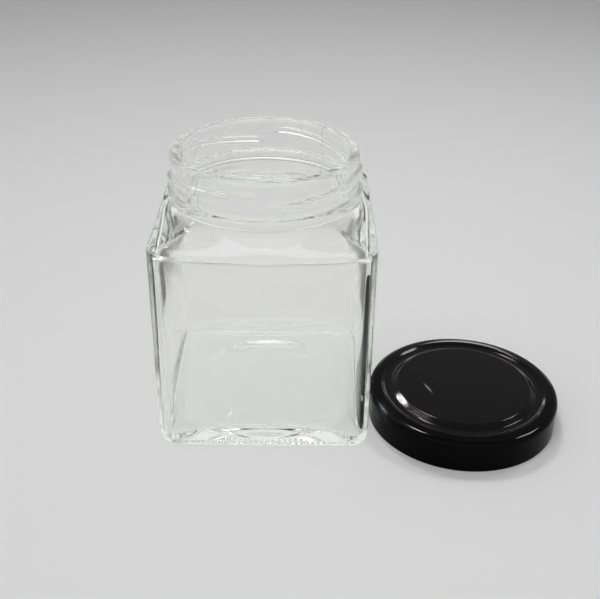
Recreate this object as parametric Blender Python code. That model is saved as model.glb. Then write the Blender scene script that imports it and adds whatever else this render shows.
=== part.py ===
"""Square glass jar with a twist-off lid lying beside it, top up.

Three pieces: the moulded glass jar, the pressed metal lid shell, and the sealing gasket inside the lid.
Metres, +Z up. The origin is at the middle of the set's footprint, on the surface that it stands on.
"""

import math

import bmesh
import bpy
from mathutils import Vector

# Driving dimensions of the jar
JAR_HALF = 0.0353            # half the width, measured at the middle of two sides
SIDE_BOW = 0.80              # plan radius of the sides, which bow out by under a millimetre
JAR_CORNER = 0.0060          # plan radius of the upright edges
JAR_HEIGHT = 0.0925
WALL = 0.0028
INNER_CORNER = 0.0032        # about concentric with the outside
HEEL_WIDTH = 0.0024          # rounding between the sides and the bearing band
HEEL_HEIGHT = 0.0030
PUSH_UP = 0.0022             # height of the round hollow under the base
PUSH_UP_RADIUS = 0.0270
FLOOR_TOP = 0.0080           # top of the domed inside floor
FLOOR_FALL = 2000.0          # fall of the dome with the fourth power of the radius
TURN_WIDTH = 0.0065          # rounding between the inside walls and the dome
TURN_RISE = 0.0042
TURN_CORNER = 0.0130

# Shoulder, between the square body and the round neck
SHOULDER_FACE_Z = 0.0690     # where the sides begin to curve in, mid side
SHOULDER_CORNER_Z = 0.0710   # the same at the upright edges
SHOULDER_RISE = 0.0013       # how firmly the sides hold upright before turning in
NECK_ROOT_Z = 0.0766
NECK_HOLD = 0.0058           # how firmly the neck holds upright as it flares out
INNER_SHOULDER_DROP = 0.0030     # the inside begins to curve in this far below the outside
INNER_SHOULDER_RISE = 0.0026
INNER_NECK_Z = 0.0770
INNER_NECK_HOLD = 0.0066

# Neck finish for a 63 mm twist-off closure
NECK_RADIUS = 0.0300
BORE_RADIUS = 0.0267
BEAD_Z = 0.07905             # transfer bead: middle height, half height and how far it stands out
BEAD_HALF = 0.00165
BEAD_OUT = 0.0012
THREAD_COUNT = 4
THREAD_OUT = 0.0011
THREAD_HALF = 0.0012         # half the height of one thread lug
THREAD_HIGH_Z = 0.0882       # middle of a thread lug at its upper end
THREAD_LOW_Z = 0.0846        # and at its lower end
THREAD_START = math.radians(87)
THREAD_SPAN = math.radians(85)
THREAD_TAPER = math.radians(8)
THREAD_ZONE = (0.0818, 0.0900)
LAND_RADII = (0.0289, 0.0276)    # flat sealing land on the rim, outer and inner
OUTER_LIP = 0.0016           # height of the rounding on each side of the land
INNER_LIP = 0.0012

# Lid, in heights above the surface that it lies on
LID_RADIUS = 0.0322
LID_GAP = 0.00085            # between the jar's side and the lid
LID_OFFSET_Y = -0.0133       # the lid's axis from the jar's axis
SHEET = 0.0003
SKIRT_TOP_Z = 0.0091
RING_EDGE_RADIUS = 0.0303    # where the ring turns down to the skirt
RING_EDGE_Z = 0.0110
CREST_RADIUS = 0.0281        # crease between the groove and the outer ring
CREST_Z = 0.0113
GROOVE_Z = 0.0105
GROOVE_RADII = (0.0268, 0.0247)
PANEL_Z = 0.0120
PANEL_RADIUS = 0.0227
EDGE_DROP = 0.0002           # softening of the pressed edges
CURL = 0.0008                # width and height of the rolled lower edge
LUG_COUNT = 4
LUG_IN = 0.00115             # how far a lid lug reaches in from the curl
LUG_HALF_ANGLE = math.radians(12)
LUG_Z = (0.00015, 0.0006)

# Gasket
GASKET_GAP = 0.0003
GASKET_THICKNESS = 0.0008
GASKET_RADII = (0.0298, 0.0262)
GASKET_SLOPE = 0.0005        # fall of its upper side from the crest to its outer edge

# Facets
FLAT_STEPS = 5               # from the middle of a side to its rounded edge
CORNER_STEPS = 6
QUARTER = 2 * FLAT_STEPS + CORNER_STEPS
AROUND = 4 * QUARTER

# Place of the jar and the lid about the middle of the footprint
LID_OFFSET_X = JAR_HALF + LID_GAP + LID_RADIUS
SPAN_X = JAR_HALF + LID_OFFSET_X + LID_RADIUS
SPAN_Y = JAR_HALF + LID_RADIUS - LID_OFFSET_Y
JAR_AXIS = Vector((JAR_HALF - SPAN_X / 2, SPAN_Y / 2 - JAR_HALF, 0))
LID_AXIS = JAR_AXIS + Vector((LID_OFFSET_X, LID_OFFSET_Y, 0))


def clear_scene():
    for item in list(bpy.data.objects):
        bpy.data.objects.remove(item, do_unlink=True)


def make_material(name, colour, roughness, metallic=0.0, transmission=0.0):
    material = bpy.data.materials.new(name)
    material.use_nodes = True
    shader = material.node_tree.nodes["Principled BSDF"]
    shader.inputs["Base Color"].default_value = (*colour, 1.0)
    shader.inputs["Roughness"].default_value = roughness
    shader.inputs["Metallic"].default_value = metallic
    shader.inputs["Transmission Weight"].default_value = transmission
    return material


def smoothstep(t):
    t = min(max(t, 0.0), 1.0)
    return t * t * (3 - 2 * t)


def bezier(a, b, c, d, t):
    s = 1 - t
    return a * s**3 + 3 * b * s * s * t + 3 * c * s * t * t + d * t**3


def square_point(half, corner, index):
    """A point of a square with bowed sides and round corners, counted from the middle of the +X side."""
    turn, step = divmod(index % AROUND, QUARTER)
    inset = SIDE_BOW - half
    reach = SIDE_BOW - corner
    middle = (math.sqrt(2 * reach**2 - inset**2) - inset) / 2
    tangent = math.atan2(middle, middle + inset)
    if step <= FLAT_STEPS:
        angle = tangent * step / FLAT_STEPS
        point = Vector((SIDE_BOW * math.cos(angle) - inset, SIDE_BOW * math.sin(angle)))
    elif step < FLAT_STEPS + CORNER_STEPS:
        angle = tangent + (math.pi / 2 - 2 * tangent) * (step - FLAT_STEPS) / CORNER_STEPS
        point = Vector((middle + corner * math.cos(angle), middle + corner * math.sin(angle)))
    else:
        angle = tangent * (QUARTER - step) / FLAT_STEPS
        point = Vector((SIDE_BOW * math.sin(angle), SIDE_BOW * math.cos(angle) - inset))
    for _ in range(turn):
        point = Vector((-point.y, point.x))
    return point


def circle_point(radius, index):
    angle = 2 * math.pi * index / AROUND
    return Vector((radius * math.cos(angle), radius * math.sin(angle)))


def square_ring(half, corner, height):
    return [Vector((*square_point(half, corner, i), height)) for i in range(AROUND)]


def circle_ring(radius, height):
    return [Vector((*circle_point(radius, i), height)) for i in range(AROUND)]


def corner_share(index):
    """0 at the middle of a side, 1 at an upright edge."""
    far = square_point(JAR_HALF, JAR_CORNER, QUARTER // 2).length
    return (square_point(JAR_HALF, JAR_CORNER, index).length - JAR_HALF) / (far - JAR_HALF)


def arc_steps(count):
    return [math.pi / 2 * i / count for i in range(count + 1)]


def base_rings():
    """The hollow under the base, the bearing band and the heel, from the axis outwards."""
    rings = []
    for share in (0.3, 0.55, 0.7, 0.82, 0.92, 1.0):
        rings.append(circle_ring(PUSH_UP_RADIUS * share, PUSH_UP * (1 - smoothstep(share**3))))
    for angle in arc_steps(4):
        half = JAR_HALF - HEEL_WIDTH * (1 - math.sin(angle))
        corner = JAR_CORNER + half - JAR_HALF
        rings.append(square_ring(half, corner, HEEL_HEIGHT * (1 - math.cos(angle))))
    return rings


def shoulder_start(index):
    return SHOULDER_FACE_Z + (SHOULDER_CORNER_Z - SHOULDER_FACE_Z) * corner_share(index)


def shoulder_rings(steps=8):
    """From the upright sides to the neck's root, each column on its own curve."""
    rings = []
    for step in range(steps + 1):
        t = step / steps
        ring = []
        for i in range(AROUND):
            start = shoulder_start(i)
            side = square_point(JAR_HALF, JAR_CORNER, i)
            spot = side.lerp(circle_point(NECK_RADIUS, i), smoothstep(t))
            height = bezier(start, start + SHOULDER_RISE, NECK_ROOT_Z - NECK_HOLD, NECK_ROOT_Z, t)
            ring.append(Vector((*spot, height)))
        rings.append(ring)
    return rings


def bead_rings():
    rings = []
    for share in (-1.0, -0.8, -0.4, 0.4, 0.8, 1.0):
        out = BEAD_OUT * math.sqrt(1 - share**4)
        rings.append(circle_ring(NECK_RADIUS + out, BEAD_Z + BEAD_HALF * share))
    return rings


def thread_height(angle, height):
    """How far the thread lugs stand out of the neck at one place."""
    turned = (THREAD_START - angle) % (2 * math.pi / THREAD_COUNT)
    most = 0.0
    for after in (turned, turned + 2 * math.pi / THREAD_COUNT):
        if after > THREAD_SPAN:
            continue
        middle = THREAD_HIGH_Z + (THREAD_LOW_Z - THREAD_HIGH_Z) * smoothstep(after / THREAD_SPAN)
        ends = smoothstep(min(after, THREAD_SPAN - after) / THREAD_TAPER)
        flank = smoothstep(2 * (1 - abs(height - middle) / THREAD_HALF))
        most = max(most, ends * flank)
    return THREAD_OUT * most


def thread_rings(steps=12):
    low, high = THREAD_ZONE
    rings = []
    for step in range(steps + 1):
        height = low + (high - low) * step / steps
        ring = []
        for i in range(AROUND):
            radius = NECK_RADIUS + thread_height(2 * math.pi * i / AROUND, height)
            ring.append(Vector((*circle_point(radius, i), height)))
        rings.append(ring)
    return rings


def rim_rings():
    """Rounded outer lip, flat land and rounded inner lip."""
    outer_land, inner_land = LAND_RADII
    rings = []
    for angle in arc_steps(3):
        radius = outer_land + (NECK_RADIUS - outer_land) * math.cos(angle)
        rings.append(circle_ring(radius, JAR_HEIGHT - OUTER_LIP * (1 - math.sin(angle))))
    for angle in arc_steps(3):
        radius = inner_land - (inner_land - BORE_RADIUS) * math.sin(angle)
        rings.append(circle_ring(radius, JAR_HEIGHT - INNER_LIP * (1 - math.cos(angle))))
    return rings


def floor_height(point):
    return FLOOR_TOP - FLOOR_FALL * point.length_squared**2


def inside_rings(steps=7):
    """Bore, inside of the shoulder, inside walls and the domed floor, from the rim down."""
    inner_half = JAR_HALF - WALL
    floor_half = inner_half - TURN_WIDTH
    rings = []
    for step in range(steps + 1):
        t = step / steps
        ring = []
        for i in range(AROUND):
            low = shoulder_start(i) - INNER_SHOULDER_DROP
            height = bezier(INNER_NECK_Z, INNER_NECK_Z - INNER_NECK_HOLD, low + INNER_SHOULDER_RISE, low, t)
            side = square_point(inner_half, INNER_CORNER, i)
            spot = circle_point(BORE_RADIUS, i).lerp(side, smoothstep(t))
            ring.append(Vector((*spot, height)))
        rings.append(ring)
    for angle in arc_steps(5):
        inward = 1 - math.cos(angle)
        half = inner_half - TURN_WIDTH * inward
        corner = INNER_CORNER + (TURN_CORNER - INNER_CORNER) * inward
        ring = []
        for i in range(AROUND):
            spot = square_point(half, corner, i)
            ring.append(Vector((*spot, floor_height(spot) + TURN_RISE * (1 - math.sin(angle)))))
        rings.append(ring)
    for share in (0.8, 0.6, 0.35):
        ring = []
        for i in range(AROUND):
            square = square_point(floor_half * share, TURN_CORNER * share, i)
            spot = circle_point(floor_half * share, i).lerp(square, share**2)
            ring.append(Vector((*spot, floor_height(spot))))
        rings.append(ring)
    return rings


def lid_outer_profile():
    """Radius and height over the top of the lid, from near its axis to the foot of the skirt."""
    points = [
        (PANEL_RADIUS * 0.5, PANEL_Z),
        (PANEL_RADIUS - EDGE_DROP, PANEL_Z),
        (PANEL_RADIUS + EDGE_DROP, PANEL_Z - EDGE_DROP),
        (GROOVE_RADII[1] - EDGE_DROP, GROOVE_Z + EDGE_DROP),
        (GROOVE_RADII[1] + EDGE_DROP, GROOVE_Z),
        (GROOVE_RADII[0] - EDGE_DROP, GROOVE_Z),
        (CREST_RADIUS - EDGE_DROP, CREST_Z - 0.5 * EDGE_DROP),
        (CREST_RADIUS + EDGE_DROP, CREST_Z - 0.25 * EDGE_DROP),
    ]
    for angle in arc_steps(6):
        points.append((
            RING_EDGE_RADIUS + (LID_RADIUS - RING_EDGE_RADIUS) * math.sin(angle),
            SKIRT_TOP_Z + (RING_EDGE_Z - SKIRT_TOP_Z) * math.cos(angle),
        ))
    return points + [
        (LID_RADIUS, CURL),
        (LID_RADIUS, EDGE_DROP),
        (LID_RADIUS - EDGE_DROP, 0.0),
    ]


def lid_inner_profile():
    """From above the curl, up inside the skirt and in under the top."""
    inside = LID_RADIUS - SHEET
    under = RING_EDGE_Z - SHEET
    points = [(inside, CURL + 0.5 * SHEET)]
    for angle in reversed(arc_steps(4)):
        points.append((
            RING_EDGE_RADIUS + (inside - RING_EDGE_RADIUS) * math.sin(angle),
            SKIRT_TOP_Z + (under - SKIRT_TOP_Z) * math.cos(angle),
        ))
    return points + [
        (CREST_RADIUS, CREST_Z - SHEET),
        (GROOVE_RADII[0], GROOVE_Z - SHEET),
        (GROOVE_RADII[1], GROOVE_Z - SHEET),
        (PANEL_RADIUS - 0.5 * EDGE_DROP, PANEL_Z - SHEET),
        (PANEL_RADIUS * 0.5, PANEL_Z - SHEET),
    ]


def lug_share(index):
    """1 on a lid lug, falling to 0 beside it."""
    pitch = 2 * math.pi / LUG_COUNT
    angle = 2 * math.pi * index / AROUND % pitch
    away = min(angle, pitch - angle)
    return smoothstep(2 * (1 - away / LUG_HALF_ANGLE))


def curl_rings():
    """Inner side of the rolled lower edge, pressed in at the lugs."""
    rings = []
    edge = LID_RADIUS - CURL
    low, high = LUG_Z
    for radius, height, reach in (
        (edge + EDGE_DROP, 0.0, 0.0),
        (edge, low, 1.0),
        (edge, high, 1.0),
        (edge + EDGE_DROP, CURL, 0.1),
    ):
        ring = []
        for i in range(AROUND):
            ring.append(Vector((*circle_point(radius - LUG_IN * lug_share(i) * reach, i), height)))
        rings.append(ring)
    return rings


def gasket_rings():
    """A flat ring whose upper side follows the lid's underside."""
    outer, inner = GASKET_RADII
    top = CREST_Z - SHEET - GASKET_GAP
    step_down = CREST_Z - GROOVE_Z
    profile = [
        (outer, top - GASKET_SLOPE),
        (CREST_RADIUS, top),
        (GROOVE_RADII[0] + GASKET_GAP, top - step_down),
        (inner, top - step_down),
        (inner, top - step_down - 0.5 * GASKET_THICKNESS),
        (GROOVE_RADII[0] + GASKET_GAP, top - step_down - 0.5 * GASKET_THICKNESS),
        (CREST_RADIUS, top - GASKET_THICKNESS),
        (outer, top - GASKET_THICKNESS),
    ]
    return [circle_ring(radius, height) for radius, height in profile]


def build_object(name, rings, axis, material, poles=None):
    """Joins rings of points into one closed surface, ending at two poles or closing on itself."""
    mesh = bmesh.new()
    rows = [[mesh.verts.new(point) for point in ring] for ring in rings]
    pairs = list(zip(rows, rows[1:]))
    if poles is None:
        pairs.append((rows[-1], rows[0]))
    for lower, upper in pairs:
        for i in range(AROUND):
            j = (i + 1) % AROUND
            mesh.faces.new((lower[i], lower[j], upper[j], upper[i]))
    if poles is not None:
        first = mesh.verts.new((0, 0, poles[0]))
        last = mesh.verts.new((0, 0, poles[1]))
        for i in range(AROUND):
            j = (i + 1) % AROUND
            mesh.faces.new((first, rows[0][j], rows[0][i]))
            mesh.faces.new((last, rows[-1][i], rows[-1][j]))
    bmesh.ops.recalc_face_normals(mesh, faces=mesh.faces)
    data = bpy.data.meshes.new(name)
    mesh.to_mesh(data)
    mesh.free()
    data.shade_smooth()
    data.set_sharp_from_angle(angle=math.radians(35))
    data.materials.append(material)
    item = bpy.data.objects.new(name, data)
    item.location = axis
    bpy.context.scene.collection.objects.link(item)
    return item


def build_jar():
    rings = base_rings() + shoulder_rings() + bead_rings() + thread_rings() + rim_rings() + inside_rings()
    glass = make_material("clear_glass", (0.93, 0.96, 0.94), 0.03, transmission=1.0)
    return build_object("glass_jar", rings, JAR_AXIS, glass, poles=(PUSH_UP, FLOOR_TOP))


def build_lid():
    outer = [circle_ring(radius, height) for radius, height in lid_outer_profile()]
    inner = [circle_ring(radius, height) for radius, height in lid_inner_profile()]
    rings = outer + curl_rings() + inner
    lacquer = make_material("black_lacquer", (0.012, 0.012, 0.014), 0.25, metallic=0.0)
    return build_object("lid_shell", rings, LID_AXIS, lacquer, poles=(PANEL_Z, PANEL_Z - SHEET))


def build_gasket():
    sealant = make_material("gasket_compound", (0.72, 0.71, 0.68), 0.55)
    return build_object("sealing_gasket", gasket_rings(), LID_AXIS, sealant)


def main():
    clear_scene()
    build_jar()
    build_lid()
    build_gasket()


main()
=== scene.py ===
"""Looks of a square glass jar with a twist-off lid beside it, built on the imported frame.

The jar, the lid shell and the gasket are each one closed mesh made of rings of points, finer than
the CAD nodes that they stand for and with the same dimensions. Metres, +Z up, in the row frame.
"""
import math

import bpy
import numpy as np
from mathutils import Matrix, Vector


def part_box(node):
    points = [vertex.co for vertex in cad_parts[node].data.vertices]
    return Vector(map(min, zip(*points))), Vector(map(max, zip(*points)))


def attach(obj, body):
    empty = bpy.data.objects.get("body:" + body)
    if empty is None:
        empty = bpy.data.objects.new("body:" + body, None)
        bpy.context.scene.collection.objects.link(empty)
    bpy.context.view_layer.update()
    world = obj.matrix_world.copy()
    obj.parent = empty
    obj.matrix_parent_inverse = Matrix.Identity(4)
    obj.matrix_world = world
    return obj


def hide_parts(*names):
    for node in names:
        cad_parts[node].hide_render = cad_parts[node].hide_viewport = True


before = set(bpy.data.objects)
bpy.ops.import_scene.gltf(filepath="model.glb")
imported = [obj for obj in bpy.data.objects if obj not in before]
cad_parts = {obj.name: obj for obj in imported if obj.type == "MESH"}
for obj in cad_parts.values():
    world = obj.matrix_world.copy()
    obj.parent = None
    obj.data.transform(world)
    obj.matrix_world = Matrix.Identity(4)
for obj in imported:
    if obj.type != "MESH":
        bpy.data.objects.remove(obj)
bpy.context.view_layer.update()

# Jar body
SIDE_BOW = 0.80              # plan radius of the bowed sides
JAR_CORNER = 0.0060
WALL = 0.0028
INNER_CORNER = 0.0032
HEEL_WIDTH = 0.0024
HEEL_HEIGHT = 0.0030
PUSH_UP = 0.0022
PUSH_UP_RADIUS = 0.0270
FLOOR_TOP = 0.0080           # top of the domed inner floor
FLOOR_FALL = 2000.0          # how fast the dome falls with the fourth power of the reach
TURN_WIDTH = 0.0065          # rounding between the walls and the dome
TURN_RISE = 0.0042
TURN_CORNER = 0.0130
SHOULDER_FACE_Z = 0.0690     # where the shoulder starts above the middle of a side
SHOULDER_CORNER_Z = 0.0710   # where it starts above a corner
SHOULDER_RISE = 0.0013
NECK_ROOT_Z = 0.0766
NECK_HOLD = 0.0058
INNER_SHOULDER_DROP = 0.0030
INNER_SHOULDER_RISE = 0.0026
INNER_NECK_Z = 0.0770
INNER_NECK_HOLD = 0.0066

# Neck finish
NECK_RADIUS = 0.0300
BORE_RADIUS = 0.0267
BEAD_Z = 0.07905
BEAD_HALF = 0.00165
BEAD_OUT = 0.0012
THREAD_COUNT = 4
THREAD_OUT = 0.0011
THREAD_HALF = 0.0012
THREAD_HIGH_Z = 0.0882
THREAD_LOW_Z = 0.0846
THREAD_START = math.radians(87)
THREAD_SPAN = math.radians(85)
THREAD_TAPER = math.radians(8)
THREAD_ZONE = (0.0818, 0.0900)
LAND_RADII = (0.0289, 0.0276)
OUTER_LIP = 0.0016
INNER_LIP = 0.0012

# Knurls on the band that the jar stands on
KNURL_DEPTH = 0.00045
KNURL_PITCH = 0.0019
KNURL_ROWS = 3
KNURL_WIDTH = 0.0052
KNURL_FULLNESS = 1.6         # above 1, the knurls have flat tops
KNURL_SIDE_FROM = 0.66       # sine of the direction where the knurls start on the front and back sides
KNURL_SIDE_FADE = 0.12       # how much further they have their full height

# Mould seam up two opposite edges
SEAM_ANGLE = math.radians(50)
SEAM_ANGLES = (SEAM_ANGLE, SEAM_ANGLE + math.pi)
SEAM_HEIGHT = 0.00018
SEAM_HALF = 0.00018

# Columns of points around the jar
QUARTER_COLUMNS = ((0, 40, 26), (40, 50, 26), (50, 90, 27))    # from and to in degrees, and how many
SEAM_COLUMNS = (-2, -1, -0.5, 0, 0.5, 1, 2)                    # from a seam's middle, in half widths
SEAM_CLEARANCE = 0.6                                           # other columns keep this far from those
BAND_PARTS = 3                                                 # columns on the band for each one above

# Lid, in heights above the surface it lies on
SHEET = 0.0003
SKIRT_TOP_Z = 0.0091
RING_EDGE_RADIUS = 0.0303
RING_EDGE_Z = 0.0110
CREST_RADIUS = 0.0281
CREST_Z = 0.0113
GROOVE_Z = 0.0105
GROOVE_RADII = (0.0268, 0.0247)
PANEL_Z = 0.0120
PANEL_RADIUS = 0.0227
PANEL_RINGS = (0.001, 0.012)                        # radii of the two rings on the flat of the panel
TOP_BENDS = (0.0003, 0.0004, 0.0005, 0.00022)       # how far the rounding reaches: panel, groove, crest
UNDER_BENDS = (0.0004, 0.0004, 0.0004, 0.0003)
HEM_BEND = 0.00035
SKIRT_JOIN = 0.0020                                 # from the top of the skirt to its next ring
INNER_EDGE = (0.0004, 0.00003)                      # the ring's inner edge, inwards and upwards
CURL = 0.0008
LUG_COUNT = 4
LUG_IN = 0.00115
LUG_HALF_ANGLE = math.radians(12)
LUG_Z = (0.00015, 0.0006)
GASKET_GAP = 0.0003
GASKET_THICKNESS = 0.0008
GASKET_RADII = (0.0298, 0.0262)
GASKET_SLOPE = 0.0005
GASKET_BEND = 0.0003
GASKET_EDGE_BEND = 0.00015
GASKET_OUTER_BEND = 0.0001
LID_COLUMNS = 256

# The smallest ring around the jar's axis, on its floor and under it, as a share of the largest
POLE_SHARE = 0.05

# Painted highlight on the lid's panel, where a small mark in the lacquer catches the light:
# its middle from the lid's axis, its direction, and its half length, width and depth
PAINTED_HIGHLIGHT_MIDDLE = (-0.0124, -0.0027, 0.0120)
PAINTED_HIGHLIGHT_ANGLE = math.radians(-68)
PAINTED_HIGHLIGHT_REACH = (0.0042, 0.0006, 0.0002)

# Colours and surfaces
GLASS_TINT = (0.995, 0.998, 0.994, 1)
GLASS_SHADOW_TINT = (0.988, 0.990, 0.987, 1)
GLASS_DEPTH_TINT = (0.92, 0.95, 0.90, 1)
GLASS_DENSITY = 4.0
GLASS_IOR = 1.52
LACQUER_GLOSSY = (0.0008, 0.0008, 0.0010, 1)
LACQUER_SATIN = (0.0135, 0.0120, 0.0135, 1)
# Pale colour painted on the panel as the highlight of a small mark in the lacquer
LACQUER_PAINTED_HIGHLIGHT = (0.30, 0.30, 0.31, 1)
LACQUER_IOR = 1.20
LACQUER_ROUGHNESS = (0.05, 0.09)    # glossy, satin
LACQUER_UNEVEN = 0.03
LACQUER_NOISE_SCALE = 900.0
SATIN_EDGE = (CREST_RADIUS + 0.0001, CREST_RADIUS - 0.0002)
GASKET_COLOURS = ((0.66, 0.65, 0.62, 1), (0.78, 0.77, 0.74, 1))
GASKET_ROUGHNESS = 0.55
GASKET_NOISE_SCALE = 400.0
FLOOR_COLOUR = (0.80, 0.80, 0.80, 1)
FLOOR_ROUGHNESS = 0.6
FLOOR_HALF = 3.0

# Studio
ROOM_HORIZON = 0.60              # at the horizon, as it lights dull surfaces
ROOM_HORIZON_SEEN = 0.92         # at the horizon, as glass and gloss show it
ROOM_ZENITH = 0.16               # overhead, as it lights dull surfaces
ROOM_ZENITH_SEEN = 0.72          # overhead, as glass and gloss show it
ROOM_FRONT = 1.60                # how many times brighter the room is in front
ROOM_FRONT_Y = (-0.9, -0.1)      # where that begins to fade, and where it is gone
LIGHT_TARGET = Vector((0, 0, 0.03))
SOFTBOX_DIRECTION = (-0.15, -0.30, 0.90)
SOFTBOX_SIZE = (0.60, 0.60)
VIEW_GAMMA = 0.8
BOUNCES = 40
GLOSSY_BOUNCES = 20
TRANSPARENT_BOUNCES = 32

# Camera: its place from the foot of the jar's axis, and its angles in radians
CAMERA_PLACE = Vector((0.010659, -0.277841, 0.195820))
CAMERA_PAN = -0.003515
CAMERA_TILT_DOWN = 0.518717
CAMERA_ROLL = 0.013445
CAMERA_LENS = 55.73              # millimetres
CAMERA_SENSOR = 36               # millimetres
CAMERA_CLIP = 0.01

jar_low, jar_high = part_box("glass_jar")
lid_low, lid_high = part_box("lid_shell")
JAR_HALF = (jar_high.x - jar_low.x) / 2
JAR_HEIGHT = jar_high.z
LID_RADIUS = (lid_high.x - lid_low.x) / 2
JAR_AXIS = Vector(((jar_low.x + jar_high.x) / 2, (jar_low.y + jar_high.y) / 2, 0))
LID_AXIS = Vector(((lid_low.x + lid_high.x) / 2, (lid_low.y + lid_high.y) / 2, 0))


def smoothstep(t):
    t = np.clip(t, 0.0, 1.0)
    return t * t * (3 - 2 * t)


def bezier(a, b, c, d, t):
    s = 1 - t
    return a * s**3 + 3 * b * s * s * t + 3 * c * s * t * t + d * t**3


def jar_angles():
    """Column angles: close together at the upright edges and at the two mould seams."""
    quarter = []
    for start, end, count in QUARTER_COLUMNS:
        quarter += list(np.linspace(start, end, count, endpoint=False))
    angles = np.radians(np.array([a + 90 * turn for turn in range(4) for a in quarter]))
    half = SEAM_HALF / NECK_RADIUS
    at_seams = [seam + half * k for seam in SEAM_ANGLES for k in SEAM_COLUMNS]
    keep = [a for a in angles if min(abs(a - e) for e in at_seams) > SEAM_CLEARANCE * half]
    return np.array(sorted(keep + at_seams))


THETA = jar_angles()


def square_reach(half, corner, theta=None):
    """Distance from the axis to a square with bowed sides and round corners, in each direction."""
    theta = THETA if theta is None else theta
    folded = np.abs((theta + math.pi / 4) % (math.pi / 2) - math.pi / 4)
    inset = SIDE_BOW - half
    reach = SIDE_BOW - corner
    middle = (math.sqrt(2 * reach**2 - inset**2) - inset) / 2
    tangent = math.atan2(middle, middle + inset)
    end = math.atan2(SIDE_BOW * math.sin(tangent), SIDE_BOW * math.cos(tangent) - inset)
    side = -inset * np.cos(folded) + np.sqrt(SIDE_BOW**2 - (inset * np.sin(folded))**2)
    under = np.maximum(corner**2 - middle**2 * (1 - np.sin(2 * folded)), 0)
    arc = middle * (np.cos(folded) + np.sin(folded)) + np.sqrt(under)
    return np.where(folded <= end, side, arc)


def polar(radius, height, theta=None):
    """A ring of points around the axis. The radius and the height may differ from column to column."""
    theta = THETA if theta is None else theta
    radius = np.broadcast_to(radius, theta.shape)
    height = np.broadcast_to(height, theta.shape)
    return np.stack([radius * np.cos(theta), radius * np.sin(theta), height], axis=1)


def corner_share():
    """0 at the middle of a side and 1 at a corner, by how far out the side reaches."""
    far = square_reach(JAR_HALF, JAR_CORNER, np.array([math.pi / 4]))[0]
    return (square_reach(JAR_HALF, JAR_CORNER) - JAR_HALF) / (far - JAR_HALF)


def seam_height():
    """How far the mould seams stand out of each column."""
    out = np.zeros_like(THETA)
    for seam in SEAM_ANGLES:
        away = np.abs((THETA - seam + math.pi) % (2 * math.pi) - math.pi) * NECK_RADIUS
        out = np.maximum(out, SEAM_HEIGHT * np.clip(1 - away / SEAM_HALF, 0, 1))
    return out


def band_height(theta, along, across):
    """Height of the band over the tips of its knurls: 0 on a knurl and KNURL_DEPTH between them.

    along runs left to right and across runs inwards from the band's edge, both in metres. Only the
    band's front and back sides have knurls, in KNURL_ROWS rows.
    """
    waves = 0.5 - 0.5 * np.cos(2 * math.pi * across / KNURL_WIDTH * KNURL_ROWS)
    rows = np.where(across < KNURL_WIDTH, waves, 0)
    columns = 0.5 + 0.5 * np.cos(2 * math.pi * along / KNURL_PITCH)
    on_side = smoothstep((np.abs(np.sin(theta)) - KNURL_SIDE_FROM) / KNURL_SIDE_FADE)
    return KNURL_DEPTH * (1 - on_side * smoothstep(KNURL_FULLNESS * columns * rows))


def push_up_rings(count=20):
    rings = []
    for share in np.linspace(POLE_SHARE, 1.0, count):
        height = KNURL_DEPTH + (PUSH_UP - KNURL_DEPTH) * (1 - smoothstep(share**3))
        rings.append(polar(PUSH_UP_RADIUS * share, height))
    return rings


def band_rings(theta, count=30):
    """The band under the jar, from the round push-up out to the square heel."""
    edge = square_reach(JAR_HALF - HEEL_WIDTH, JAR_CORNER - HEEL_WIDTH, theta)
    narrow = JAR_HALF - HEEL_WIDTH - PUSH_UP_RADIUS
    rings = []
    for share in np.linspace(0, 1, count)[1:-1]:
        across = narrow * (1 - share) + (edge - PUSH_UP_RADIUS - narrow) * (1 - share)**3
        reach = edge - across
        rings.append(polar(reach, band_height(theta, reach * np.cos(theta), across), theta))
    return rings


def heel_rings(count=10):
    rings = []
    for angle in np.linspace(0, math.pi / 2, count):
        half = JAR_HALF - HEEL_WIDTH * (1 - math.sin(angle))
        corner = JAR_CORNER + half - JAR_HALF
        height = KNURL_DEPTH + (HEEL_HEIGHT - KNURL_DEPTH) * (1 - math.cos(angle))
        rings.append(polar(square_reach(half, corner), height))
    return rings


def shoulder_start():
    return SHOULDER_FACE_Z + (SHOULDER_CORNER_Z - SHOULDER_FACE_Z) * corner_share()


def shoulder_rings(count=40):
    side = square_reach(JAR_HALF, JAR_CORNER)
    start = shoulder_start()
    rings = []
    for t in np.linspace(0, 1, count):
        reach = side + (NECK_RADIUS - side) * smoothstep(t)
        height = bezier(start, start + SHOULDER_RISE, NECK_ROOT_Z - NECK_HOLD, NECK_ROOT_Z, t)
        rings.append(polar(reach, height))
    return rings


def bead_rings(count=15):
    rings = []
    for turn in np.linspace(-math.pi / 2, math.pi / 2, count):
        share = math.sin(turn)
        rings.append(polar(NECK_RADIUS + BEAD_OUT * (1 - share**4)**0.5, BEAD_Z + BEAD_HALF * share))
    return rings


def thread_rings(count=42):
    """The neck's outside, with the threads and the mould seams on it."""
    pitch = 2 * math.pi / THREAD_COUNT
    turned = (THREAD_START - THETA) % pitch
    rings = []
    for height in np.linspace(*THREAD_ZONE, count):
        most = np.zeros_like(THETA)
        for after in (turned, turned + pitch):
            middle = THREAD_HIGH_Z + (THREAD_LOW_Z - THREAD_HIGH_Z) * smoothstep(after / THREAD_SPAN)
            ends = smoothstep(np.minimum(after, THREAD_SPAN - after) / THREAD_TAPER)
            flank = smoothstep(2 * (1 - np.abs(height - middle) / THREAD_HALF))
            most = np.maximum(most, np.where(after <= THREAD_SPAN, ends * flank, 0))
        rings.append(polar(NECK_RADIUS + THREAD_OUT * most + seam_height(), height))
    return rings


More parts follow.
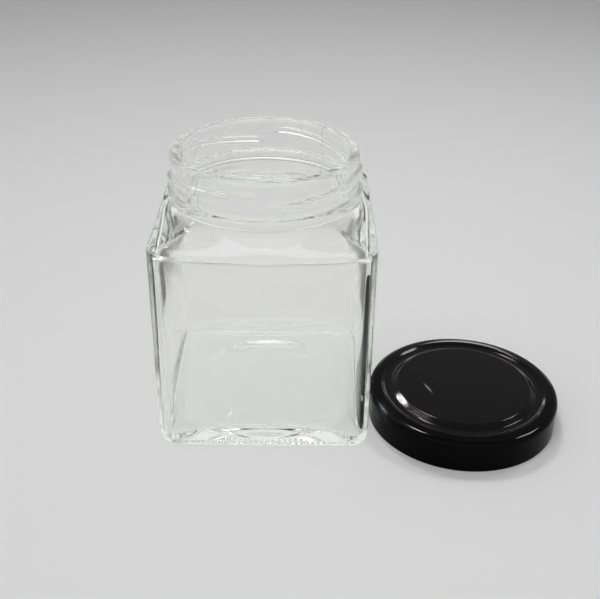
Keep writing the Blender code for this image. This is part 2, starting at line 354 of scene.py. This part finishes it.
def rim_rings(count=8):
    outer_land, inner_land = LAND_RADII
    rings = []
    for angle in np.linspace(0, math.pi / 2, count):
        radius = outer_land + (NECK_RADIUS - outer_land) * math.cos(angle)
        rings.append(polar(radius, JAR_HEIGHT - OUTER_LIP * (1 - math.sin(angle))))
    for angle in np.linspace(0, math.pi / 2, count):
        radius = inner_land - (inner_land - BORE_RADIUS) * math.sin(angle)
        rings.append(polar(radius, JAR_HEIGHT - INNER_LIP * (1 - math.cos(angle))))
    return rings


def floor_height(reach):
    return FLOOR_TOP - FLOOR_FALL * reach**4


def inside_rings(bore=6, shoulder=30, wall=14, turn=20, dome=20):
    """The jar's inside, from the rim down to the middle of its floor, with counts of rings."""
    inner_half = JAR_HALF - WALL
    side = square_reach(inner_half, INNER_CORNER)
    top = shoulder_start() - INNER_SHOULDER_DROP
    bottom = floor_height(side) + TURN_RISE
    rings = []
    for height in np.linspace(JAR_HEIGHT - INNER_LIP, INNER_NECK_Z, bore)[1:-1]:
        rings.append(polar(BORE_RADIUS, height))
    for t in np.linspace(0, 1, shoulder):
        reach = BORE_RADIUS + (side - BORE_RADIUS) * smoothstep(t)
        height = bezier(INNER_NECK_Z, INNER_NECK_Z - INNER_NECK_HOLD, top + INNER_SHOULDER_RISE, top, t)
        rings.append(polar(reach, height))
    for share in np.linspace(0, 1, wall)[1:-1]:
        rings.append(polar(side, top + (bottom - top) * share))
    for angle in np.linspace(0, math.pi / 2, turn):
        inward = 1 - math.cos(angle)
        corner = INNER_CORNER + (TURN_CORNER - INNER_CORNER) * inward
        reach = square_reach(inner_half - TURN_WIDTH * inward, corner)
        rings.append(polar(reach, floor_height(reach) + TURN_RISE * (1 - math.sin(angle))))
    half = inner_half - TURN_WIDTH
    last = square_reach(half, TURN_CORNER)
    for share in np.linspace(1, POLE_SHARE, dome)[1:]:
        reach = share * (half * (1 - share**2) + last * share**2)
        rings.append(polar(reach, floor_height(reach)))
    return rings


class Surface:
    """Collects rings of points and the faces between them."""

    def __init__(self):
        self.points = []
        self.faces = []
        self.total = 0

    def add(self, ring):
        """Adds a ring and returns its first index and its size."""
        start = self.total
        self.points.append(ring)
        self.total += len(ring)
        return start, len(ring)

    def join(self, lower, upper):
        """Quads between rings of one size, or faces from each edge of one ring to several of the other."""
        (low, low_count), (high, high_count) = lower, upper
        if low_count == high_count:
            here = np.arange(low_count)
            after = (here + 1) % low_count
            self.faces += np.stack([low + here, low + after, high + after, high + here], axis=1).tolist()
        elif high_count > low_count:
            parts = high_count // low_count
            for i in range(low_count):
                fine = [high + (i * parts + s) % high_count for s in range(parts, -1, -1)]
                self.faces.append([low + i, low + (i + 1) % low_count] + fine)
        else:
            parts = low_count // high_count
            for i in range(high_count):
                fine = [low + (i * parts + s) % low_count for s in range(parts + 1)]
                self.faces.append(fine + [high + (i + 1) % high_count, high + i])

    def pole(self, ring, height, flip):
        """Closes a ring with triangles to a point on the axis."""
        tip = self.total
        self.points.append(np.array([[0.0, 0.0, height]]))
        self.total += 1
        start, count = ring
        for i in range(count):
            here = start + i
            after = start + (i + 1) % count
            self.faces.append([tip, after, here] if flip else [tip, here, after])

    def build(self, name, axis, material):
        mesh = bpy.data.meshes.new(name)
        points = np.concatenate(self.points) + np.array(axis)
        mesh.from_pydata(points.tolist(), [], self.faces)
        mesh.validate()
        mesh.shade_smooth()
        mesh.materials.append(material)
        return put_in_scene(name, mesh)


def put_in_scene(name, data):
    item = bpy.data.objects.new(name, data)
    bpy.context.scene.collection.objects.link(item)
    return item


def fine_theta(parts):
    """The jar's column angles with parts - 1 more between each two."""
    following = np.append(THETA[1:], THETA[0] + 2 * math.pi)
    return np.concatenate([np.linspace(a, b, parts, endpoint=False) for a, b in zip(THETA, following)])


def build_jar(material):
    surface = Surface()
    rows = [surface.add(ring) for ring in push_up_rings()]
    surface.pole(rows[0], PUSH_UP, flip=True)
    rows += [surface.add(ring) for ring in band_rings(fine_theta(BAND_PARTS))]
    outer = heel_rings() + shoulder_rings() + bead_rings() + thread_rings() + rim_rings()
    rows += [surface.add(ring) for ring in outer + inside_rings()]
    for lower, upper in zip(rows, rows[1:]):
        surface.join(lower, upper)
    surface.pole(rows[-1], FLOOR_TOP, flip=False)
    return surface.build("jar_glass", JAR_AXIS, material)


def rounded(points, steps=7):
    """A profile through corner points, each given with how far its rounding reaches along its two sides."""
    made = [np.array(points[0][:2])]
    for before, here, after in zip(points, points[1:], points[2:]):
        spot = np.array(here[:2])
        reach = here[2] if len(here) > 2 else 0
        if reach == 0:
            made.append(spot)
            continue
        into = np.array(before[:2]) - spot
        out = np.array(after[:2]) - spot
        first = spot + into / np.linalg.norm(into) * reach
        last = spot + out / np.linalg.norm(out) * reach
        for t in np.linspace(0, 1, steps):
            made.append((1 - t)**2 * first + 2 * t * (1 - t) * spot + t * t * last)
    made.append(np.array(points[-1][:2]))
    return made


def edge_arc(radius, top, count):
    """The rounding from the ring down to the skirt."""
    points = []
    for angle in np.linspace(0, math.pi / 2, count):
        points.append(np.array([
            RING_EDGE_RADIUS + (radius - RING_EDGE_RADIUS) * math.sin(angle),
            SKIRT_TOP_Z + (top - SKIRT_TOP_Z) * math.cos(angle),
        ]))
    return points


def panel_to_crest(drop, bends):
    """Corner points from the middle of the panel to the crest, drop below the lid's top surface."""
    heights = (PANEL_Z, GROOVE_Z, GROOVE_Z, CREST_Z)
    radii = (PANEL_RADIUS, GROOVE_RADII[1], GROOVE_RADII[0], CREST_RADIUS)
    flat = [(radius, PANEL_Z - drop) for radius in PANEL_RINGS]
    return flat + [(radius, height - drop, bend) for radius, height, bend in zip(radii, heights, bends)]


def lid_outer_profile():
    """The lid's outside, from the middle of the panel to the hem."""
    top = rounded(panel_to_crest(0.0, TOP_BENDS) + [(RING_EDGE_RADIUS, RING_EDGE_Z)], steps=10)
    skirt = rounded([
        (LID_RADIUS, SKIRT_TOP_Z - SKIRT_JOIN),
        (LID_RADIUS, 0.0, HEM_BEND),
        (LID_RADIUS - CURL, 0.0),
    ])
    return top + edge_arc(LID_RADIUS, RING_EDGE_Z, count=20)[1:] + skirt[:-1]


def lid_inner_profile():
    """The lid's inside, from above the hem to the middle of the panel."""
    inside = LID_RADIUS - SHEET
    edge = (RING_EDGE_RADIUS - INNER_EDGE[0], RING_EDGE_Z - SHEET + INNER_EDGE[1])
    under = rounded([edge] + panel_to_crest(SHEET, UNDER_BENDS)[::-1])
    hem = [np.array([inside, CURL + SHEET])]
    return hem + edge_arc(inside, RING_EDGE_Z - SHEET, count=12)[::-1] + under


def lug_share(theta):
    """1 on a lug and 0 between the lugs."""
    pitch = 2 * math.pi / LUG_COUNT
    away = np.abs((theta + pitch / 2) % pitch - pitch / 2)
    return smoothstep(2 * (1 - away / LUG_HALF_ANGLE))


def curl_profile():
    """The rolled hem: radius, height, and how much of the lugs' reach each ring has."""
    edge = LID_RADIUS - CURL
    low, high = LUG_Z
    return [
        (edge + 0.0002, 0.0, 0.0),
        (edge + 0.00005, low / 2, 0.6),
        (edge, low, 1.0),
        (edge, high, 1.0),
        (edge + 0.00005, high + 0.0001, 0.6),
        (edge + 0.0002, CURL, 0.1),
        (edge + 0.0004, CURL + 0.00015, 0.0),
    ]


def lid_angles():
    return np.linspace(0, 2 * math.pi, LID_COLUMNS, endpoint=False)


def build_lid(material):
    theta = lid_angles()
    surface = Surface()
    rows = [surface.add(polar(r, z, theta)) for r, z in lid_outer_profile()]
    surface.pole(rows[0], PANEL_Z, flip=False)
    for radius, height, reach in curl_profile():
        rows.append(surface.add(polar(radius - LUG_IN * lug_share(theta) * reach, height, theta)))
    rows += [surface.add(polar(r, z, theta)) for r, z in lid_inner_profile()]
    for lower, upper in zip(rows, rows[1:]):
        surface.join(upper, lower)
    surface.pole(rows[-1], PANEL_Z - SHEET, flip=True)
    return surface.build("lid_pressing", LID_AXIS, material)


def build_gasket(material):
    theta = lid_angles()
    outer, inner = GASKET_RADII
    top = CREST_Z - SHEET - GASKET_GAP
    low = top - (CREST_Z - GROOVE_Z)
    corner = GROOVE_RADII[0] + GASKET_GAP
    half = 0.5 * GASKET_THICKNESS
    loop = [
        (outer, top - GASKET_SLOPE, GASKET_EDGE_BEND),
        (CREST_RADIUS, top, GASKET_BEND),
        (corner, low, GASKET_BEND),
        (inner, low, GASKET_EDGE_BEND),
        (inner, low - half, GASKET_EDGE_BEND),
        (corner, low - half, GASKET_BEND),
        (CREST_RADIUS, top - GASKET_THICKNESS, GASKET_BEND),
        (outer, top - GASKET_THICKNESS, GASKET_OUTER_BEND),
    ]
    closed = [(*loop[-1][:2], 0)] + loop + [(*loop[0][:2], 0)]
    profile = rounded(closed, steps=5)[1:-1]
    surface = Surface()
    rows = [surface.add(polar(r, z, theta)) for r, z in profile]
    for lower, upper in zip(rows, rows[1:] + rows[:1]):
        surface.join(lower, upper)
    return surface.build("gasket_ring", LID_AXIS, material)


class Nodes:
    """A short way to add and link the nodes of a material or a world."""

    def __init__(self, owner):
        self.owner = owner
        owner.use_nodes = True
        self.tree = owner.node_tree

    def set(self, node, **values):
        """Sets a node's properties and inputs by name, with _ for the spaces in an input's name."""
        for key, value in values.items():
            if key in node.bl_rna.properties:
                setattr(node, key, value)
            else:
                node.inputs[key.replace("_", " ")].default_value = value
        return node

    def add(self, kind, **values):
        return self.set(self.tree.nodes.new("ShaderNode" + kind), **values)

    def link(self, source, target):
        self.tree.links.new(source, target)

    def map_range(self, value, **values):
        """A Map Range node for a value, with limits of 0 and 1 where no others are given."""
        node = self.add("MapRange", **values)
        self.link(value, node.inputs["Value"])
        return node

    def mix(self, share, first, second):
        """The mix of two colours. The first may be the output of another node."""
        node = self.add("MixRGB", Color2=second)
        self.link(share, node.inputs["Fac"])
        if isinstance(first, bpy.types.NodeSocket):
            self.link(first, node.inputs["Color1"])
        else:
            node.inputs["Color1"].default_value = first
        return node.outputs[0]


def new_material(name, **values):
    """A material's nodes and its shader, with values on the shader's own inputs."""
    nodes = Nodes(bpy.data.materials.new(name))
    shader = nodes.set(nodes.tree.nodes["Principled BSDF"], **values)
    return nodes, shader


def glass_material():
    """Clear glass, faintly green in depth, that light passes straight through on its way to dull surfaces."""
    nodes, shader = new_material(
        "clear_glass", Base_Color=GLASS_TINT, Roughness=0.0, IOR=GLASS_IOR, Transmission_Weight=1.0
    )
    through = nodes.add("BsdfTransparent", Color=GLASS_SHADOW_TINT)
    path = nodes.add("LightPath")
    either = nodes.add("Math", operation="MAXIMUM")
    nodes.link(path.outputs["Is Shadow Ray"], either.inputs[0])
    nodes.link(path.outputs["Is Diffuse Ray"], either.inputs[1])
    mix = nodes.add("MixShader")
    nodes.link(either.outputs[0], mix.inputs[0])
    nodes.link(shader.outputs[0], mix.inputs[1])
    nodes.link(through.outputs[0], mix.inputs[2])
    output = nodes.tree.nodes["Material Output"]
    nodes.link(mix.outputs[0], output.inputs["Surface"])
    absorb = nodes.add("VolumeAbsorption", Color=GLASS_DEPTH_TINT, Density=GLASS_DENSITY)
    nodes.link(absorb.outputs[0], output.inputs["Volume"])
    return nodes.owner


def lacquer_material():
    """Black lacquer: satin inside the crest of the ring, glossy and darker outside it.

    Its gloss is a little uneven all over, and a painted highlight lies on the panel:
    a pale patch where a small mark in the lacquer catches the light.
    """
    nodes, shader = new_material("black_lacquer", IOR=LACQUER_IOR)
    place = nodes.add("TexCoord").outputs["Object"]
    from_axis = nodes.add("VectorMath", operation="SUBTRACT")
    from_axis.inputs[1].default_value = LID_AXIS
    nodes.link(place, from_axis.inputs[0])
    flat = nodes.add("VectorMath", operation="MULTIPLY")
    flat.inputs[1].default_value = (1, 1, 0)
    nodes.link(from_axis.outputs[0], flat.inputs[0])
    radius = nodes.add("VectorMath", operation="LENGTH")
    nodes.link(flat.outputs[0], radius.inputs[0])
    satin = nodes.map_range(radius.outputs["Value"], From_Min=SATIN_EDGE[0], From_Max=SATIN_EDGE[1])
    # A pale patch painted into the colour: a painted highlight where a small mark on the panel catches the
    # light
    on_highlight = nodes.add(
        "Mapping", vector_type="TEXTURE",
        Location=PAINTED_HIGHLIGHT_MIDDLE, Rotation=(0, 0, PAINTED_HIGHLIGHT_ANGLE), Scale=PAINTED_HIGHLIGHT_REACH,
    )
    nodes.link(from_axis.outputs[0], on_highlight.inputs[0])
    from_highlight = nodes.add("VectorMath", operation="LENGTH")
    nodes.link(on_highlight.outputs[0], from_highlight.inputs[0])
    painted_highlight = nodes.map_range(
        from_highlight.outputs["Value"], interpolation_type="SMOOTHSTEP", To_Min=1.0, To_Max=0.0
    )
    colour = nodes.mix(satin.outputs[0], LACQUER_GLOSSY, LACQUER_SATIN)
    nodes.link(nodes.mix(painted_highlight.outputs[0], colour, LACQUER_PAINTED_HIGHLIGHT), shader.inputs["Base Color"])
    rough = nodes.map_range(satin.outputs[0], To_Min=LACQUER_ROUGHNESS[0], To_Max=LACQUER_ROUGHNESS[1])
    peel = nodes.add("TexNoise", Scale=LACQUER_NOISE_SCALE, Detail=2.0)
    nodes.link(place, peel.inputs["Vector"])
    uneven = nodes.add("Math", operation="MULTIPLY_ADD")
    uneven.inputs[1].default_value = LACQUER_UNEVEN
    nodes.link(peel.outputs["Fac"], uneven.inputs[0])
    nodes.link(rough.outputs[0], uneven.inputs[2])
    nodes.link(uneven.outputs[0], shader.inputs["Roughness"])
    return nodes.owner


def gasket_material():
    """Pale sealing compound with a faint mottle."""
    nodes, shader = new_material("gasket_compound", Roughness=GASKET_ROUGHNESS)
    mottle = nodes.add("TexNoise", Scale=GASKET_NOISE_SCALE, Detail=3.0)
    nodes.link(nodes.add("TexCoord").outputs["Object"], mottle.inputs["Vector"])
    nodes.link(nodes.mix(mottle.outputs["Fac"], *GASKET_COLOURS), shader.inputs["Base Color"])
    return nodes.owner


def floor_material():
    """A dull pale floor without reflections."""
    nodes, _ = new_material(
        "pale_floor", Base_Color=FLOOR_COLOUR, Roughness=FLOOR_ROUGHNESS, Specular_IOR_Level=0.0
    )
    return nodes.owner


def build_floor():
    """The surface under the jar and the lid."""
    mesh = bpy.data.meshes.new("floor")
    corners = [(x * FLOOR_HALF, y * FLOOR_HALF, 0) for x, y in ((-1, -1), (1, -1), (1, 1), (-1, 1))]
    mesh.from_pydata(corners, [], [(0, 1, 2, 3)])
    mesh.materials.append(floor_material())
    floor = put_in_scene("floor", mesh)


def add_light(
    name, direction, distance, size, power,
    spread=180, seen=True, through=False, only=None, behind_jar=False,
):
    """An area light that faces LIGHT_TARGET. Distance and size are in metres, power in watts.

    A light that is not seen shows in no reflection, and shows through glass only where through is
    set. A light with only shines on that one object, as a reflection. Where the jar stands between
    such a light and the lid, behind_jar keeps the jar from dimming the reflection.
    """
    data = bpy.data.lights.new(name, "AREA")
    data.shape = "RECTANGLE"
    data.size, data.size_y = size
    data.energy = power
    data.spread = math.radians(spread)
    light = put_in_scene(name, data)
    light.location = LIGHT_TARGET + Vector(direction).normalized() * distance
    light.rotation_euler = (LIGHT_TARGET - light.location).to_track_quat("-Z", "Y").to_euler()
    light.visible_glossy = seen
    light.visible_transmission = seen or through
    if only:
        receivers = bpy.data.collections.new(name)
        receivers.objects.link(only)
        light.light_linking.receiver_collection = receivers
        light.visible_diffuse = False
        data.cycles.use_multiple_importance_sampling = not behind_jar


def set_lights(jar, lid):
    """Soft light from the front above, two small lamps behind, and the windows that jar and lid reflect."""
    add_light("softbox", SOFTBOX_DIRECTION, 1.1, SOFTBOX_SIZE, 0.88, spread=110, seen=False)
    add_light(
        "softbox_low", SOFTBOX_DIRECTION, 1.16, SOFTBOX_SIZE, 0.78,
        spread=110, seen=False, through=True,
    )
    add_light("lamp_back", (-0.14, 0.42, 0.90), 1.0, (0.14, 0.14), 0.50, spread=100, seen=False)
    add_light("lamp_right", (0.42, 0.35, 0.84), 1.0, (0.14, 0.14), 0.25, spread=90, seen=False)
    add_light("window", (-0.66, 0.47, 0.56), 1.0, (0.32, 0.26), 20.0, only=lid, behind_jar=True)
    add_light("window_top", (-0.52, 0.14, 0.84), 1.0, (0.42, 0.34), 5.0, only=lid, behind_jar=True)
    add_light("oval", (-0.10, 0.44, 0.88), 1.0, (0.07, 0.14), 7.0, only=lid)
    add_light("streak", (0.66, 0.16, 0.74), 1.0, (0.30, 0.26), 8.0, only=lid)
    add_light("strip", (0.18, 0.95, 0.28), 1.0, (0.90, 0.10), 2.2, only=lid)
    add_light("window_seen", (-0.58, 0.48, 0.66), 1.0, (0.12, 0.20), 0.5, only=jar)


def set_world():
    """A pale room, brighter at the horizon than overhead and brighter in front than behind.

    It is dimmer where it lights dull surfaces than where glass and gloss show it.
    """
    world = bpy.data.worlds.new("studio")
    bpy.context.scene.world = world
    nodes = Nodes(world)
    split = nodes.add("SeparateXYZ")
    nodes.link(nodes.add("TexCoord").outputs["Generated"], split.inputs[0])
    dull = nodes.add("LightPath").outputs["Is Diffuse Ray"]
    overhead = nodes.map_range(dull, To_Min=ROOM_ZENITH_SEEN, To_Max=ROOM_ZENITH)
    around = nodes.map_range(dull, To_Min=ROOM_HORIZON_SEEN, To_Max=ROOM_HORIZON)
    up = nodes.map_range(split.outputs["Z"])
    nodes.link(around.outputs[0], up.inputs["To Min"])
    nodes.link(overhead.outputs[0], up.inputs["To Max"])
    front = nodes.map_range(
        split.outputs["Y"], interpolation_type="SMOOTHSTEP",
        From_Min=ROOM_FRONT_Y[0], From_Max=ROOM_FRONT_Y[1], To_Min=ROOM_FRONT, To_Max=1.0,
    )
    times = nodes.add("Math", operation="MULTIPLY")
    nodes.link(up.outputs[0], times.inputs[0])
    nodes.link(front.outputs[0], times.inputs[1])
    nodes.link(times.outputs[0], nodes.tree.nodes["Background"].inputs["Color"])


def set_light_paths():
    """How the picture is shown, and enough bounces for light to cross the jar's walls and threads."""
    scene = bpy.context.scene
    scene.view_settings.view_transform = "Standard"
    scene.view_settings.gamma = VIEW_GAMMA
    scene.cycles.max_bounces = BOUNCES
    scene.cycles.transmission_bounces = BOUNCES
    scene.cycles.glossy_bounces = GLOSSY_BOUNCES
    scene.cycles.transparent_max_bounces = TRANSPARENT_BOUNCES


def set_camera():
    data = bpy.data.cameras.new("camera")
    data.lens = CAMERA_LENS
    data.sensor_width = CAMERA_SENSOR
    data.clip_start = CAMERA_CLIP
    camera = put_in_scene("camera", data)
    pan = Matrix.Rotation(CAMERA_PAN, 4, "Z")
    tilt = Matrix.Rotation(math.pi / 2 - CAMERA_TILT_DOWN, 4, "X")
    roll = Matrix.Rotation(CAMERA_ROLL, 4, "Z")
    camera.matrix_world = Matrix.Translation(JAR_AXIS + CAMERA_PLACE) @ pan @ tilt @ roll
    bpy.context.scene.camera = camera


def main():
    jar = build_jar(glass_material())
    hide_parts("glass_jar")
    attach(jar, "jar")
    lid = build_lid(lacquer_material())
    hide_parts("lid_shell")
    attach(lid, "lid")
    gasket = build_gasket(gasket_material())
    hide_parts("sealing_gasket")
    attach(gasket, "lid_seal")
    build_floor()
    set_world()
    set_lights(jar, lid)
    set_camera()
    set_light_paths()


main()
bpy.context.view_layer.update()
